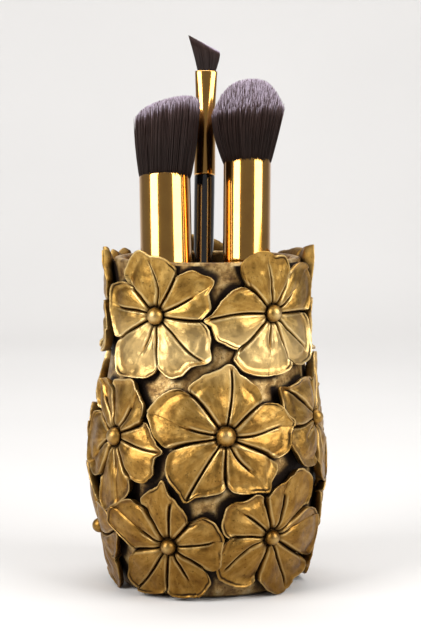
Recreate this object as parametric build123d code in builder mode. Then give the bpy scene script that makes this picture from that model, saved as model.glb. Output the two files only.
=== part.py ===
# Makeup brush holder: a barrel-shaped pot covered in flowers, with three brushes standing in it.
# Millimetres. The origin is the middle of the underside, Z is up and the front faces -Y.
# Angles round the pot are in degrees from the front, growing towards +X.
from build123d import *
from math import atan2, ceil, cos, degrees, radians, sin, sqrt
import os

os.makedirs("parts", exist_ok=True)

UPRIGHT = (Align.CENTER, Align.CENTER, Align.MIN)

# Pot: one smooth curve from the foot through the belly to a straight neck
FOOT_HEIGHT = 0.5
FOOT_RADIUS = 28.5
FOOT_CHAMFER = 0.8
BELLY_RADIUS = 37.2
BELLY_HEIGHT = 42.0
NECK_RADIUS = 31.8
NECK_HEIGHT = 94.0
RIM_HEIGHT = 112.0
WALL_THICKNESS = 3.2
FLOOR_TOP = 6.5
FLOOR_CURVE = 5.0
RIM_ROUNDING = 1.2
PROFILE_STEP = 10.0

# Felt pad in a recess under the foot
PAD_MARGIN = 3.0
PAD_RECESS_DEPTH = 1.0
PAD_FIT = 0.1

# Domed studs that hold the flowers
STUD_SHANK_RADIUS = 1.5
STUD_DOME_RADII = {"a": 2.8, "b": 2.8, "c": 3.2, "d": 3.0, "e": 2.6, "f": 2.5, "g": 2.5, "h": 2.8}
STUD_DOME_RISE = 2.3
STUD_HOLE_DEPTH = 2.2
STUD_END_GAP = 0.2
STUD_FIT = 0.05

# Flowers: heights above the wall's outer face
HUB_RADIUS = 6.5
HUB_UNDERSIDE = 0.6
HUB_TOP = 1.8
STUD_SEAT_TOP = 2.5
BEND_LIFT = 3.0
PETAL_START = 2.2
PETAL_GROOVE = 0.8
TIP_SHARE = 0.985

# One petal's section at each station: share of the way from start to notch (0 to 1) or from
# notch to tip (1 to 2), then the heights of its underside, edge, crest and vein valley
PETAL_STATIONS = [
    (0.00, 0.50, 2.0, 2.4, 2.0),
    (0.30, 0.55, 2.45, 3.3, 2.45),
    (0.65, 0.55, 2.85, 4.0, 2.85),
    (1.00, 0.90, 3.2, 4.3, 3.2),
    (1.55, 1.90, 4.0, 4.9, 4.0),
    (1.85, 2.50, 4.3, 4.9, 4.3),
    (2.00, 2.80, 4.4, 4.7, 4.5),
]

# Brushes: how they stand in the pot and how their pieces fit together
BRUSH_END_GAP = 0.3
BRUSH_RIM_GAP = 0.3
FERRULE_LENGTH = 38.0
FERRULE_WALL = 0.4
FERRULE_FIT = 0.05
SHOULDER_STEP = 0.15
TENON_LENGTH = 14.0
BACKING_DEPTH = 0.5
BACKING_THICKNESS = 6.0
STRAND_MARGIN = 0.7
STRAND_RADII = (0.35, 0.35, 0.20)
GOLDEN_ANGLE = 137.508

# The two thick brushes: foot on the pot's floor, X at the rim, and the shape of the tuft
ROUND_HANDLE_END = 4.5
DOMED_FOOT = (12.7, -0.2)
DOMED_RIM_X = 13.65
DOMED_HANDLE_LENGTH = 101.0
DOMED_RADIUS = 8.3
DOMED_TUFT = {
    "strands": 130,
    "middle_height": 8.8,
    "middle_radius": 11.2,
    "middle_shift": -0.4,
    "tip_radius": 12.6,
    "tip_shift": 0.2,
    "tip_height": 28.2,
    "tip_slope": 1.3,
    "edge_drop": 11.2,
    "edge_power": 3,
}
FLAT_FOOT = (-11.9, -8.4)
FLAT_RIM_X = -14.25
FLAT_HANDLE_LENGTH = 96.5
FLAT_RADIUS = 9.0
FLAT_TUFT = {
    "strands": 130,
    "middle_height": 10.5,
    "middle_radius": 10.7,
    "middle_shift": 0.6,
    "tip_radius": 11.4,
    "tip_shift": 1.5,
    "tip_height": 26.5,
    "tip_slope": 2.8,
    "edge_drop": 3.0,
    "edge_power": 6,
}

# The thin brush with the slanted tip: its ferrule's sections are height, half width and half depth
ANGLED_FOOT = (-2.9, 3.1)
ANGLED_RIM_X = -1.35
ANGLED_HANDLE_LENGTH = 134.5
ANGLED_HANDLE_END = 2.6
ANGLED_TENON_LENGTH = 10.0
ANGLED_FERRULE_STATIONS = [
    (0, 3.8, 3.8),
    (14.0, 3.7, 3.7),
    (25.0, 3.5, 2.8),
    (37.5, 4.0, 1.9),
]
ANGLED_ROWS = 3
ANGLED_COLUMNS = 14
ANGLED_ROW_STEP = 0.6
ANGLED_ROOT_HALF = 2.5
ANGLED_STRAND_RADII = (0.17, 0.17, 0.12)
ANGLED_BACKING_MARGIN = 0.3
ANGLED_BACKING_THICKNESS = 3.0
ANGLED_MIDDLE_HEIGHT = 4.2
ANGLED_MIDDLE_HALF = 4.4
ANGLED_MIDDLE_SHIFT = 0.3
ANGLED_TIP_HEIGHT = 10.4
ANGLED_TIP_SLOPE = 3.0
ANGLED_TIP_HALF = 5.8
ANGLED_TIP_SHIFT = -0.9

# Flower shapes, petals counter-clockwise: vein's angle, reach, fullness of the tip,
# then the angle and reach of the notch that follows
FLOWER_SHAPES = {
    "a": [
        (28, 22.5, 3.2, 58, 15.5),
        (100, 21.5, 3.2, 135, 14.0),
        (166, 21.0, 4.0, 207, 18.0),
        (243, 22.5, 4.0, 277, 17.5),
        (320, 23.5, 2.4, 355, 16.3),
    ],
    "b": [
        (30, 23.0, 3.2, 64, 14.5),
        (108, 22.0, 3.2, 142, 14.5),
        (184, 24.0, 2.4, 219, 19.5),
        (256, 22.0, 4.0, 293, 19.0),
        (323, 25.0, 2.4, 358, 18.0),
    ],
    "c": [
        (7, 24.7, 2.4, 38, 16.0),
        (86, 23.0, 2.4, 131, 18.5),
        (166, 24.7, 3.2, 193, 18.0),
        (236, 23.5, 2.4, 272, 16.5),
        (310, 20.4, 3.7, 336, 18.5),
    ],
    "d": [
        (352, 20.2, 3.2, 26, 15.0),
        (66, 20.1, 3.0, 101, 16.5),
        (132, 21.0, 3.2, 160, 15.5),
        (200, 22.0, 3.2, 240, 15.5),
        (270, 22.1, 3.2, 310, 16.0),
    ],
    "e": [
        (5, 22.0, 3.2, 38, 16.0),
        (70, 23.0, 3.2, 97, 13.5),
        (150, 24.6, 2.4, 182, 17.5),
        (214, 20.8, 4.0, 254, 15.0),
        (292, 23.0, 3.2, 330, 16.0),
    ],
    "f": [
        (8, 17.7, 3.2, 46, 12.0),
        (88, 20.5, 2.4, 124, 15.5),
        (162, 23.0, 3.2, 194, 14.0),
        (228, 20.2, 4.0, 262, 15.0),
        (305, 17.5, 4.0, 330, 13.0),
    ],
    "g": [
        (8, 24.9, 3.0, 31, 17.5),
        (62, 24.3, 2.4, 107, 14.0),
        (150, 18.9, 3.2, 177, 16.0),
        (218, 19.9, 3.7, 254, 14.0),
        (300, 22.0, 2.9, 333, 16.5),
    ],
    "h": [
        (28, 22.5, 3.2, 58, 15.5),
        (100, 21.5, 3.2, 135, 13.0),
        (166, 16.8, 4.0, 207, 14.0),
        (243, 22.5, 4.0, 277, 17.5),
        (320, 23.5, 2.4, 355, 16.3),
    ],
}

# Where each flower sits: shape, angle round the pot, height, turn about its own stud, scale
FLOWERS = {
    "flower_top_1": ("a", -30.0, 94.4, 0, 1.00),
    "flower_top_2": ("b", 40.0, 95.0, 0, 1.00),
    "flower_top_3": ("a", 112.0, 95.1, 250, 1.00),
    "flower_top_4": ("b", 183.8, 95.5, 203, 1.01),
    "flower_top_5": ("h", 256.6, 94.6, 96, 1.00),
    "flower_middle_1": ("d", -52.5, 53.5, 0, 1.00),
    "flower_middle_2": ("c", 9.3, 55.6, 0, 1.00),
    "flower_middle_3": ("e", 73.7, 58.0, 0, 1.00),
    "flower_middle_4": ("d", 131.0, 56.5, 142, 1.00),
    "flower_middle_5": ("c", 190.9, 54.7, 246, 1.01),
    "flower_middle_6": ("e", 247.3, 55.2, 292, 0.95),
    "flower_bottom_1": ("f", -20.3, 19.2, 0, 1.00),
    "flower_bottom_2": ("g", 35.0, 21.5, 0, 1.00),
    "flower_bottom_3": ("f", 97.2, 20.2, 271, 0.95),
    "flower_bottom_4": ("g", 158.0, 20.4, 150, 1.00),
    "flower_bottom_5": ("f", 217.9, 19.5, 351, 1.00),
    "flower_bottom_6": ("g", 277.3, 20.5, 152, 1.00),
}


def wall_radius(height):
    """Outer radius of the bare wall at a height above the table."""
    if height < BELLY_HEIGHT:
        share = 1 - height / BELLY_HEIGHT
        return BELLY_RADIUS - (BELLY_RADIUS - FOOT_RADIUS) * share**2
    share = min(1, (height - BELLY_HEIGHT) / (NECK_HEIGHT - BELLY_HEIGHT))
    return NECK_RADIUS + (BELLY_RADIUS - NECK_RADIUS) * (1 + cos(radians(180 * share))) / 2


def wall_plane(angle, height, lift=0):
    """Plane on the wall, lifted along the wall's normal, with X round the pot and Z outwards."""
    slope = wall_radius(height + 0.5) - wall_radius(height - 0.5)
    turn = radians(angle)
    outwards = Vector(sin(turn), -cos(turn), 0)
    normal = (outwards - Vector(0, 0, slope)).normalized()
    point = outwards * wall_radius(height) + Vector(0, 0, height) + normal * lift
    return Plane(point, x_dir=(cos(turn), sin(turn), 0), z_dir=normal)


def on_flower(flower, vein, along, across, lift):
    """Point of a flower, bent round the pot: along and across one vein, lifted off the wall."""
    shape, angle, height, turn, scale = FLOWERS[flower]
    way = radians(vein + turn)
    right = (along * cos(way) - across * sin(way)) * scale
    up = (along * sin(way) + across * cos(way)) * scale
    bend = wall_radius(height) + BEND_LIFT
    return wall_plane(angle + degrees(right / bend), height + up, lift).origin


def half_width(along, notch, reach, fullness):
    """Half width of a petal at a distance along its vein, on the side of one notch."""
    notch_along, notch_across = notch
    if along <= notch_along:
        return along * notch_across / notch_along - PETAL_GROOVE / 2
    share = min(1, (along - notch_along) / (reach - notch_along))
    return (notch_across - PETAL_GROOVE / 2) * (1 - share**fullness)


def notch_place(angle, reach):
    """Distances along and across a vein of a notch at an angle from it."""
    turn = radians(angle % 360)
    return reach * cos(turn), reach * sin(turn)


def petal_section(flower, vein, along, left, right, heights):
    """Section of a petal across its vein: two crests with the vein's valley between them."""
    under, edge, crest, valley = heights
    middle = on_flower(flower, vein, along, 0, 0)
    forward = on_flower(flower, vein, along + 0.1, 0, 0) - middle
    sideways = on_flower(flower, vein, along, -0.1, 0) - middle
    plane = Plane(middle, x_dir=sideways, z_dir=forward)

    def corner(across, lift):
        point = plane.to_local_coords(on_flower(flower, vein, along, across, lift))
        return Vector(point.X, point.Y)

    def bow(start, middle, end):
        return start, middle * 2 - (start + end) / 2, end

    with BuildSketch(plane) as section:
        with BuildLine():
            Bezier(*bow(corner(left, under), corner((left - right) / 2, under), corner(-right, under)))
            Line(corner(-right, under), corner(-right, edge))
            Bezier(*bow(corner(-right, edge), corner(-0.5 * right, crest), corner(0, valley)))
            Bezier(*bow(corner(0, valley), corner(0.5 * left, crest), corner(left, edge)))
            Line(corner(left, edge), corner(left, under))
        make_face()
    return section.sketch


def build_petal(flower, petal):
    """One petal, lofted along its vein from the hub to the tip."""
    shape = FLOWER_SHAPES[FLOWERS[flower][0]]
    vein, reach, fullness, left_angle, left_reach = shape[petal]
    right_angle, right_reach = shape[petal - 1][3:]
    left_notch = notch_place(left_angle - vein, left_reach)
    right_notch = notch_place(vein - right_angle, right_reach)
    notch_along = (left_notch[0] + right_notch[0]) / 2
    sections = []
    for place, under, edge, crest, valley in PETAL_STATIONS:
        if place <= 1:
            along = PETAL_START + (notch_along - PETAL_START) * place
        else:
            along = notch_along + (reach * TIP_SHARE - notch_along) * (place - 1)
        left = half_width(along, left_notch, reach, fullness)
        right = half_width(along, right_notch, reach, fullness)
        sections.append(petal_section(flower, vein, along, left, right, (under, edge, crest, valley)))
    with BuildPart() as petal_part:
        loft(sections)
    return petal_part.part


def stud_tool(shape, angle, height, fit):
    """Space that a stud takes from the wall outwards: its shank, and its dome's seat."""
    with BuildPart() as tool:
        with Locations(wall_plane(angle, height, -STUD_HOLE_DEPTH).location):
            Cylinder(STUD_SHANK_RADIUS + fit, STUD_HOLE_DEPTH + STUD_SEAT_TOP, align=UPRIGHT)
        with Locations(wall_plane(angle, height, STUD_SEAT_TOP).location):
            Cylinder(STUD_DOME_RADII[shape] + fit, STUD_DOME_RISE, align=UPRIGHT)
    return tool.part


def trim_petal(petal, neighbour):
    """A petal cut back where its neighbour in the same flower lies over it."""
    with BuildPart() as trimmed:
        add(petal)
        add(neighbour, mode=Mode.SUBTRACT)
    return trimmed.part.solids().sort_by(SortBy.VOLUME)[-1]


def build_flower(flower):
    """Five petals and the hub between their roots, touching face to face, bored for the stud."""
    shape, angle, height, turn, scale = FLOWERS[flower]
    whole = [build_petal(flower, petal) for petal in range(len(FLOWER_SHAPES[shape]))]
    petals = [trim_petal(whole[petal - 1], whole[petal]) for petal in range(len(whole))]
    with BuildPart() as hub:
        with Locations(wall_plane(angle, height, HUB_UNDERSIDE).location):
            Cylinder(HUB_RADIUS, HUB_TOP - HUB_UNDERSIDE, align=UPRIGHT)
        add(whole, mode=Mode.SUBTRACT)
        add(stud_tool(shape, angle, height, STUD_FIT), mode=Mode.SUBTRACT)
    return Compound([hub.part.solids().sort_by(SortBy.VOLUME)[-1], *petals], label=flower)


def build_stud(shape, angle, height):
    """A domed stud: the shank stops short of its hole's end and the dome sits on the flower."""
    middle = wall_plane(angle, height)
    profile = Plane(middle.origin, x_dir=middle.x_dir, z_dir=-middle.y_dir)
    end = STUD_END_GAP - STUD_HOLE_DEPTH
    seat = STUD_SEAT_TOP + STUD_FIT
    top = seat + STUD_DOME_RISE
    dome_radius = STUD_DOME_RADII[shape]
    dome_sphere = (dome_radius**2 + STUD_DOME_RISE**2) / (2 * STUD_DOME_RISE)
    dome_edge = degrees(atan2(dome_sphere - STUD_DOME_RISE, dome_radius))
    with BuildPart() as stud:
        with BuildSketch(profile):
            with BuildLine():
                Line((0, end), (STUD_SHANK_RADIUS, end))
                Line((STUD_SHANK_RADIUS, end), (STUD_SHANK_RADIUS, seat))
                Line((STUD_SHANK_RADIUS, seat), (dome_radius, seat))
                CenterArc((0, top - dome_sphere), dome_sphere, dome_edge, 90 - dome_edge)
                Line((0, top), (0, end))
            make_face()
        revolve(axis=Axis(middle.origin, middle.z_dir))
    return stud.part


def build_studs():
    """All the studs as one group of separate solids."""
    with BuildPart() as studs:
        for shape, angle, height, turn, scale in FLOWERS.values():
            add(build_stud(shape, angle, height))
    studs.part.label = "flower_studs"
    return studs.part


def profile_points(inset, low, high):
    """Points of the wall's profile between two heights, for a spline."""
    steps = ceil((high - low) / PROFILE_STEP)
    heights = [low + (high - low) * step / steps for step in range(steps + 1)]
    return [(wall_radius(height) - inset, height) for height in heights]


def build_pot():
    """The bare pot: barrel wall, floor, rounded rim, recess for the pad and holes for the studs."""
    foot_edge = wall_radius(FOOT_HEIGHT + FOOT_CHAMFER)
    curve_top = FLOOR_TOP + FLOOR_CURVE
    inner_foot = wall_radius(curve_top) - WALL_THICKNESS
    inner_neck = NECK_RADIUS - WALL_THICKNESS
    with BuildPart() as pot:
        with BuildSketch(Plane.XZ):
            with BuildLine():
                Line((0, FOOT_HEIGHT), (foot_edge - FOOT_CHAMFER, FOOT_HEIGHT))
                Line((foot_edge - FOOT_CHAMFER, FOOT_HEIGHT), (foot_edge, FOOT_HEIGHT + FOOT_CHAMFER))
                Spline(*profile_points(0, FOOT_HEIGHT + FOOT_CHAMFER, NECK_HEIGHT))
                Line((NECK_RADIUS, NECK_HEIGHT), (NECK_RADIUS, RIM_HEIGHT))
                Line((NECK_RADIUS, RIM_HEIGHT), (inner_neck, RIM_HEIGHT))
                Line((inner_neck, RIM_HEIGHT), (inner_neck, NECK_HEIGHT))
                Spline(*profile_points(WALL_THICKNESS, curve_top, NECK_HEIGHT))
                ThreePointArc(
                    (inner_foot, curve_top),
                    (inner_foot - 0.3 * FLOOR_CURVE, FLOOR_TOP + 0.3 * FLOOR_CURVE),
                    (inner_foot - FLOOR_CURVE, FLOOR_TOP),
                )
                Line((inner_foot - FLOOR_CURVE, FLOOR_TOP), (0, FLOOR_TOP))
                Line((0, FLOOR_TOP), (0, FOOT_HEIGHT))
            make_face()
        revolve(axis=Axis.Z)
        fillet(pot.edges().filter_by_position(Axis.Z, RIM_HEIGHT, RIM_HEIGHT), RIM_ROUNDING)
        with Locations((0, 0, FOOT_HEIGHT)):
            Cylinder(
                FOOT_RADIUS - PAD_MARGIN,
                PAD_RECESS_DEPTH,
                align=UPRIGHT,
                mode=Mode.SUBTRACT,
            )
        bottoms = [
            wall_plane(angle, height, -STUD_HOLE_DEPTH).location
            for shape, angle, height, turn, scale in FLOWERS.values()
        ]
        with Locations(bottoms):
            Cylinder(
                STUD_SHANK_RADIUS + STUD_FIT,
                2 * STUD_HOLE_DEPTH,
                align=UPRIGHT,
                mode=Mode.SUBTRACT,
            )
    pot.part.label = "pot_body"
    return pot.part


def build_pad():
    """Felt pad that fills the recess and stands on the table."""
    with BuildPart() as pad:
        Cylinder(FOOT_RADIUS - PAD_MARGIN - PAD_FIT, FOOT_HEIGHT + PAD_RECESS_DEPTH, align=UPRIGHT)
    pad.part.label = "felt_pad"
    return pad.part


def brush_plane(foot, rim_x, radius):
    """Plane at a brush's lower end, with Z along the brush, which leans on the back of the rim."""
    reach = NECK_RADIUS - WALL_THICKNESS - radius - BRUSH_RIM_GAP
    start = Vector(foot[0], foot[1], FLOOR_TOP + BRUSH_END_GAP)
    at_rim = Vector(rim_x, sqrt(reach**2 - rim_x**2), RIM_HEIGHT)
    return Plane(start, x_dir=(1, 0, 0), z_dir=at_rim - start)


def build_handle(place, end_radius, shoulder_radius, length, tenon_radius, tenon_length, label):
    """Turned handle with a rounded end and a tenon that goes into the ferrule."""
    profile = Plane(place.origin, x_dir=place.x_dir, z_dir=-place.y_dir)
    with BuildPart() as handle:
        with BuildSketch(profile):
            with BuildLine():
                CenterArc((0, end_radius), end_radius, -90, 90)
                Spline(
                    (end_radius, end_radius),
                    ((end_radius + shoulder_radius) / 2, 0.5 * length),
                    (shoulder_radius, length),
                    tangents=((0, 1), (0, 1)),
                )
                Line((shoulder_radius, length), (tenon_radius, length))
                Line((tenon_radius, length), (tenon_radius, length + tenon_length))
                Line((tenon_radius, length + tenon_length), (0, length + tenon_length))
                Line((0, length + tenon_length), (0, 0))
            make_face()
        revolve(axis=Axis(place.origin, place.z_dir))
    handle.part.label = label
    return handle.part


def build_round_ferrule(place, radius, label):
    """Plain metal tube from the handle's shoulder to the mouth."""
    with BuildPart() as ferrule:
        with BuildSketch(place):
            Circle(radius)
            Circle(radius - FERRULE_WALL, mode=Mode.SUBTRACT)
        extrude(amount=FERRULE_LENGTH)
    ferrule.part.label = label
    return ferrule.part


def build_strand(mouth, points, radii):
    """One three-sided strand through its root, its middle and its tip."""
    sections = [
        mouth.offset(height) * Pos(x, y) * RegularPolygon(radius, 3)
        for (x, y, height), radius in zip(points, radii)
    ]
    return loft(sections, ruled=True)


def join_tuft(backing, strands, label):
    """Strands and their backing as one solid: the roots only touch the backing, so glue does."""
    tuft = backing.fuse(*strands, glue=True)
    tuft.label = label
    return tuft


def build_round_tuft(mouth, radius, tuft, label):
    """Strands in a spiral, spread from the mouth to a domed or flat top."""
    inner_radius = radius - FERRULE_WALL - FERRULE_FIT
    root_radius = inner_radius - STRAND_MARGIN
    strands = []
    for number in range(tuft["strands"]):
        share = sqrt((number + 0.5) / tuft["strands"])
        turn = radians(number * GOLDEN_ANGLE)
        x = share * cos(turn)
        y = share * sin(turn)
        drop = tuft["edge_drop"] * share ** tuft["edge_power"]
        root = (x * root_radius, y * root_radius, -BACKING_DEPTH)
        middle = (
            x * tuft["middle_radius"] + tuft["middle_shift"],
            y * tuft["middle_radius"],
            tuft["middle_height"],
        )
        tip = (
            x * tuft["tip_radius"] + tuft["tip_shift"],
            y * tuft["tip_radius"],
            tuft["tip_height"] + tuft["tip_slope"] * x - drop,
        )
        strands.append(build_strand(mouth, (root, middle, tip), STRAND_RADII))
    with BuildPart() as backing:
        with BuildSketch(mouth.offset(-BACKING_DEPTH)):
            Circle(inner_radius)
        extrude(amount=-BACKING_THICKNESS)
    return join_tuft(backing.part, strands, label)


def flat_section(place, height, half_x, half_y, inset=0):
    """Ellipse of the angled brush's ferrule at a height above its shoulder."""
    with BuildSketch(place.offset(height)) as section:
        Ellipse(half_x - inset, half_y - inset)
    return section.sketch


def build_flat_ferrule(place, label):
    """Tube that is round at the handle, pinched in the middle and flattened at the mouth."""
    outside = [flat_section(place, *station) for station in ANGLED_FERRULE_STATIONS]
    inside = [flat_section(place, *station, FERRULE_WALL) for station in ANGLED_FERRULE_STATIONS]
    with BuildPart() as ferrule:
        loft(outside)
        loft(inside, mode=Mode.SUBTRACT)
    ferrule.part.label = label
    return ferrule.part


def build_flat_tuft(mouth, label):
    """Rows of strands fanned to a slanted edge."""
    strands = []
    for row in range(ANGLED_ROWS):
        y = (row - (ANGLED_ROWS - 1) / 2) * ANGLED_ROW_STEP
        for column in range(ANGLED_COLUMNS):
            x = 2 * column / (ANGLED_COLUMNS - 1) - 1
            root = (x * ANGLED_ROOT_HALF, y, -BACKING_DEPTH)
            middle = (x * ANGLED_MIDDLE_HALF + ANGLED_MIDDLE_SHIFT, y, ANGLED_MIDDLE_HEIGHT)
            tip = (
                x * ANGLED_TIP_HALF + ANGLED_TIP_SHIFT,
                y,
                ANGLED_TIP_HEIGHT - ANGLED_TIP_SLOPE * x,
            )
            strands.append(build_strand(mouth, (root, middle, tip), ANGLED_STRAND_RADII))
    mouth_half_x, mouth_half_y = ANGLED_FERRULE_STATIONS[-1][1:]
    with BuildPart() as backing:
        with BuildSketch(mouth.offset(-BACKING_DEPTH)):
            Ellipse(
                mouth_half_x - FERRULE_WALL - ANGLED_BACKING_MARGIN,
                mouth_half_y - FERRULE_WALL - ANGLED_BACKING_MARGIN,
            )
        extrude(amount=-ANGLED_BACKING_THICKNESS)
    return join_tuft(backing.part, strands, label)


def build_round_brush(name, foot, rim_x, length, radius, tuft):
    """A brush with a plain round ferrule, from the length of its handle."""
    place = brush_plane(foot, rim_x, radius)
    tenon = radius - FERRULE_WALL - FERRULE_FIT
    shoulder = place.offset(length)
    mouth = shoulder.offset(FERRULE_LENGTH)
    return [
        build_handle(
            place,
            ROUND_HANDLE_END,
            radius - SHOULDER_STEP,
            length,
            tenon,
            TENON_LENGTH,
            name + "_handle",
        ),
        build_round_ferrule(shoulder, radius, name + "_ferrule"),
        build_round_tuft(mouth, radius, tuft, name + "_tuft"),
    ]


def build_angled_brush(name):
    """The thin brush with the flattened ferrule and slanted tip."""
    shoulder_radius = ANGLED_FERRULE_STATIONS[0][1]
    place = brush_plane(ANGLED_FOOT, ANGLED_RIM_X, shoulder_radius)
    shoulder = place.offset(ANGLED_HANDLE_LENGTH)
    return [
        build_handle(
            place,
            ANGLED_HANDLE_END,
            shoulder_radius - SHOULDER_STEP,
            ANGLED_HANDLE_LENGTH,
            shoulder_radius - FERRULE_WALL - FERRULE_FIT,
            ANGLED_TENON_LENGTH,
            name + "_handle",
        ),
        build_flat_ferrule(shoulder, name + "_ferrule"),
        build_flat_tuft(shoulder.offset(ANGLED_FERRULE_STATIONS[-1][0]), name + "_tuft"),
    ]


parts = [build_pot(), build_pad(), build_studs()]
parts += [build_flower(flower) for flower in FLOWERS]
parts += build_round_brush(
    "domed_brush", DOMED_FOOT, DOMED_RIM_X, DOMED_HANDLE_LENGTH, DOMED_RADIUS, DOMED_TUFT
)
parts += build_round_brush(
    "flat_brush", FLAT_FOOT, FLAT_RIM_X, FLAT_HANDLE_LENGTH, FLAT_RADIUS, FLAT_TUFT
)
parts += build_angled_brush("angled_brush")

for part in parts:
    export_step(part, f"parts/{part.label}.step")
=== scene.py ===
from math import atan2, cos, pi, radians, sin, sqrt
from types import SimpleNamespace

import bpy
import numpy as np
from mathutils import Matrix, Vector


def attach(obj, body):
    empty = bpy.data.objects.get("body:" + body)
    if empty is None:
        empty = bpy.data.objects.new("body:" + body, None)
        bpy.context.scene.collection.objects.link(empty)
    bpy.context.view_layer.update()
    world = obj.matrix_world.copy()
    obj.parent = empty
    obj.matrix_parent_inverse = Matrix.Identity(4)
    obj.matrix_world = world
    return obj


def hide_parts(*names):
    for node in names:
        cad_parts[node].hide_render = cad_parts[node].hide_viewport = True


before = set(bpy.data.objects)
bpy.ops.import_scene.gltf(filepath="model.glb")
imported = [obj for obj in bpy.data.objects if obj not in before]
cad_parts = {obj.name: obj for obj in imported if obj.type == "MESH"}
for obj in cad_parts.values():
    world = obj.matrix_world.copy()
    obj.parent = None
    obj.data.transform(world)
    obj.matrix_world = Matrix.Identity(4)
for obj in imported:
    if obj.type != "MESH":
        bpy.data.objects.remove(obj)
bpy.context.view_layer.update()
MM = 0.001

# The pot, in millimetres; sizes that are in the CAD model too have the same values there
FOOT_HEIGHT = 0.5
FOOT_RADIUS = 28.5
FOOT_EDGE_HEIGHT = 1.3
BELLY_RADIUS = 37.2
BELLY_HEIGHT = 42.0
NECK_RADIUS = 31.8
NECK_HEIGHT = 94.0
RIM_HEIGHT = 112.0
RIM_ROUNDING = 1.2
WALL_THICKNESS = 3.2
WALL_RELIEF = 0.15
WALL_COLUMNS = 420
OUTER_ROWS = 140
INNER_ROWS = 50
FLOOR_TOP = 6.5
FLOOR_ROUNDING = 5.0
AXIS_GAP = 0.05
PAD_PROFILE = [
    (0, 0), (24.9, 0), (25.3, 0.15), (25.4, 0.4), (25.4, 1.2), (25.2, 1.45), (24.9, 1.5), (0, 1.5),
]

# Studs: the dome's radius in each flower shape, and heights above the wall
BUTTON_RADII = {"a": 2.8, "b": 2.8, "c": 3.2, "d": 3.0, "e": 2.6, "f": 2.5, "g": 2.5, "h": 2.8}
BUTTON_SEAT = 2.55
BUTTON_RISE = 2.3
SHANK_RADIUS = 1.5
SHANK_END = -2.0
SHANK_TOP = 1.3

# Flower relief, in millimetres above the wall
LIFT_RADII = (0.0, 2.4, 4.5, 9.0, 14.0, 19.0, 24.0)
LIFTS = (1.7, 1.8, 2.4, 3.25, 3.75, 4.1, 4.3)
LIFT_LEAST = 0.9
LIFT_CAP = 4.9
LIFT_CAP_SOFTNESS = 0.3
UNDER_SHARES = (0.0, 0.55, 0.72, 0.9, 1.0)
UNDER_LIFTS = (-0.3, -0.3, 0.0, 0.8, 1.6)
LIP_INSETS = (1.15, 0.88, 0.68, 0.52, 0.39, 0.28, 0.18, 0.09, 0.03, 0.0)
LIP_LIFTS = (0.0, -0.04, 0.02, 0.14, 0.23, 0.25, 0.19, 0.05, -0.13, -0.36)
EDGE_THICKNESS = 1.35
RIDGE_RISE = 0.60
VEIN_FOLD = 1.05
CUT_FOLD = 1.10
PETAL_DIP = 0.35
CUP_DEPTH = 0.75
EDGE_RISE = 0.45
VEIN_DEPTH = 0.80
CUT_DEPTH = 0.95
CUT_DEEPENING = 1.5
BEAD_INSET = 0.72
BEAD_WIDTH = 0.26
RING_DEPTH = 0.75
LOWEST = 0.35
COLUMNS = 40
MAIN_ROWS = 44
UNDER_ROWS = 12

# Brushes, in millimetres; a brush's foot is (x, y) on the pot's floor
BRUSH_GAP = 0.3
FERRULE_WALL = 0.4
FERRULE_LENGTH = 38.0
HANDLE_END_RADIUS = 4.5
SHOULDER_STEP = 0.15
TENON_LENGTH = 14.0
STRANDS = 5600
STRAND_RADIUS = 0.13
DOMED_TUFT = {
    "middle_height": 8.8, "middle_radius": 11.2, "middle_shift": -0.4, "tip_radius": 12.6, "tip_shift": 0.2,
    "tip_height": 28.2, "tip_slope": 1.3, "edge_drop": 11.2, "edge_power": 3,
}
FLAT_TUFT = {
    "middle_height": 10.5, "middle_radius": 10.7, "middle_shift": 0.6, "tip_radius": 11.4, "tip_shift": 1.5,
    "tip_height": 26.5, "tip_slope": 2.8, "edge_drop": 3.0, "edge_power": 6,
}
THICK_BRUSHES = {
    "domed_brush": {
        "foot": (12.7, -0.2), "rim_x": 13.65, "length": 101.0, "radius": 8.3, "tuft": DOMED_TUFT, "seed": 3,
    },
    "flat_brush": {
        "foot": (-11.9, -8.4), "rim_x": -14.25, "length": 96.5, "radius": 9.0, "tuft": FLAT_TUFT, "seed": 4,
    },
}
ANGLED_FOOT = (-2.9, 3.1)
ANGLED_RIM_X = -1.35
ANGLED_RADIUS = 3.8
ANGLED_END_RADIUS = 2.6
ANGLED_HANDLE_LENGTH = 134.5
ANGLED_TENON_LENGTH = 10.0
ANGLED_STATIONS = [(0, 3.8, 3.8), (14, 3.7, 3.7), (25, 3.5, 2.8), (37.5, 4.0, 1.9)]
ANGLED_STRANDS = 1400
ANGLED_STRAND_RADIUS = 0.09

# Floor, backdrop and camera, in metres, degrees and pixels
FLOOR_FRONT = -2.4
FLOOR_HALF_WIDTH = 2.0
BACKDROP_FOOT = 0.75
BACKDROP_BEND = 0.4
BACKDROP_TOP = 1.5
CAMERA_DISTANCE = 0.700
CAMERA_HEIGHT = 0.160
CAMERA_PITCH = 5.57
CAMERA_X = 0.00112
FOCAL_PIXELS = 2058.3
IMAGE_LONG_SIDE = 631.0
SENSOR_WIDTH = 36.0

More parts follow.
